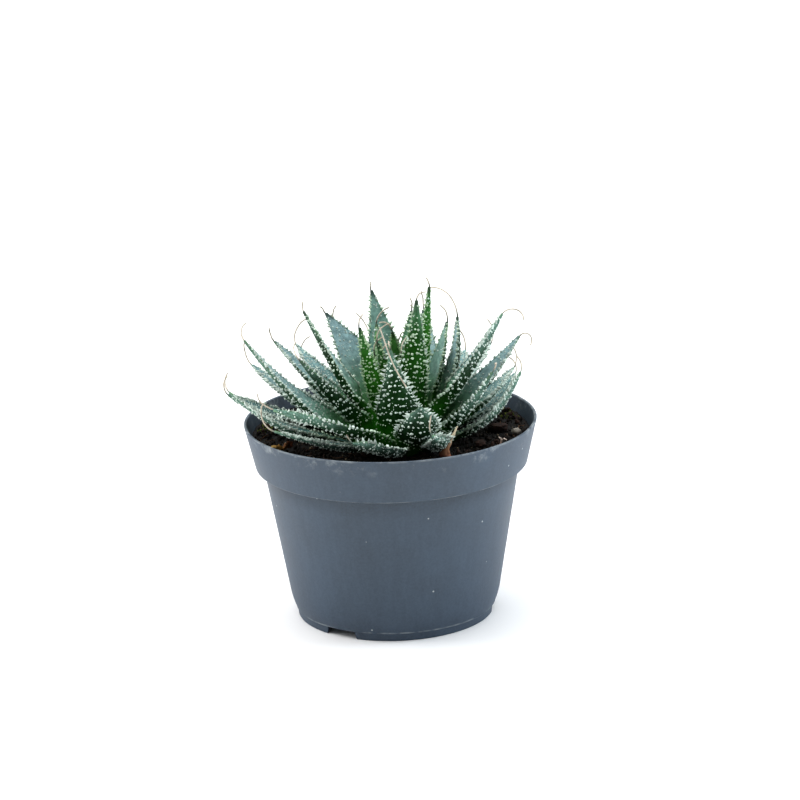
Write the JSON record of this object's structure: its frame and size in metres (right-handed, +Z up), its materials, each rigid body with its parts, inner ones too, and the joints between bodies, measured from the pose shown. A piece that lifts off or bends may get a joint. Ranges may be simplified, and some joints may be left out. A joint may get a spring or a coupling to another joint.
{
  "type": "potted aloe",
  "caption": "Small aloe rosette with toothed, dotted leaves and dry thread tips, in a round nursery pot with a deep collar, filled with peat.",
  "frame": {"origin": "on the surface that the pot stands on, under the middle of the outline of pot and plant", "axes": "+Z up, -Y towards the viewer of the picture, +X to the viewer's right"},
  "size_m": [0.127, 0.1203, 0.1429],
  "materials": {
    "pot": "moulded polypropylene, slate grey with a faint blue tone, satin to matte",
    "peat": "moist peat, nearly black, rough and crumbly",
    "crown": "pale green leaf bases round a short stem",
    "leaf": "dark green succulent skin with pale tubercles, white teeth and a grey bloom",
    "bark": "small chips of brown bark",
    "pebble": "pale dry stone",
    "dead_leaf": "dried leaf skin, papery, pink-brown"
  },
  "bodies": {
    "root": {"pot": "pot", "soil": "peat", "crown": "crown", "leaf_low_1": "leaf", "leaf_low_2": "leaf", "leaf_low_3": "leaf", "leaf_low_4": "leaf", "leaf_low_5": "leaf", "leaf_low_6": "leaf", "leaf_low_7": "leaf", "leaf_low_8": "leaf", "leaf_low_9": "leaf", "leaf_outer_1": "leaf", "leaf_outer_2": "leaf", "leaf_outer_3": "leaf", "leaf_outer_4": "leaf", "leaf_outer_5": "leaf", "leaf_outer_6": "leaf", "leaf_outer_7": "leaf", "leaf_outer_8": "leaf", "leaf_outer_9": "leaf", "leaf_spreading_1": "leaf", "leaf_spreading_2": "leaf", "leaf_spreading_3": "leaf", "leaf_spreading_4": "leaf", "leaf_spreading_5": "leaf", "leaf_spreading_6": "leaf", "leaf_spreading_7": "leaf", "leaf_middle_1": "leaf", "leaf_middle_2": "leaf", "leaf_middle_3": "leaf", "leaf_middle_4": "leaf", "leaf_middle_5": "leaf", "leaf_rising_1": "leaf", "leaf_rising_2": "leaf", "leaf_rising_3": "leaf", "leaf_rising_4": "leaf", "leaf_upright_1": "leaf", "leaf_upright_2": "leaf", "leaf_upright_3": "leaf", "leaf_upright_4": "leaf", "leaf_heart_1": "leaf", "bark_1": "bark", "bark_2": "bark", "bark_3": "bark", "bark_4": "bark", "bark_5": "bark", "pebble": "pebble", "dry_sheath": "dead_leaf", "dry_scrap": "dead_leaf"}
  },
  "joints": []
}
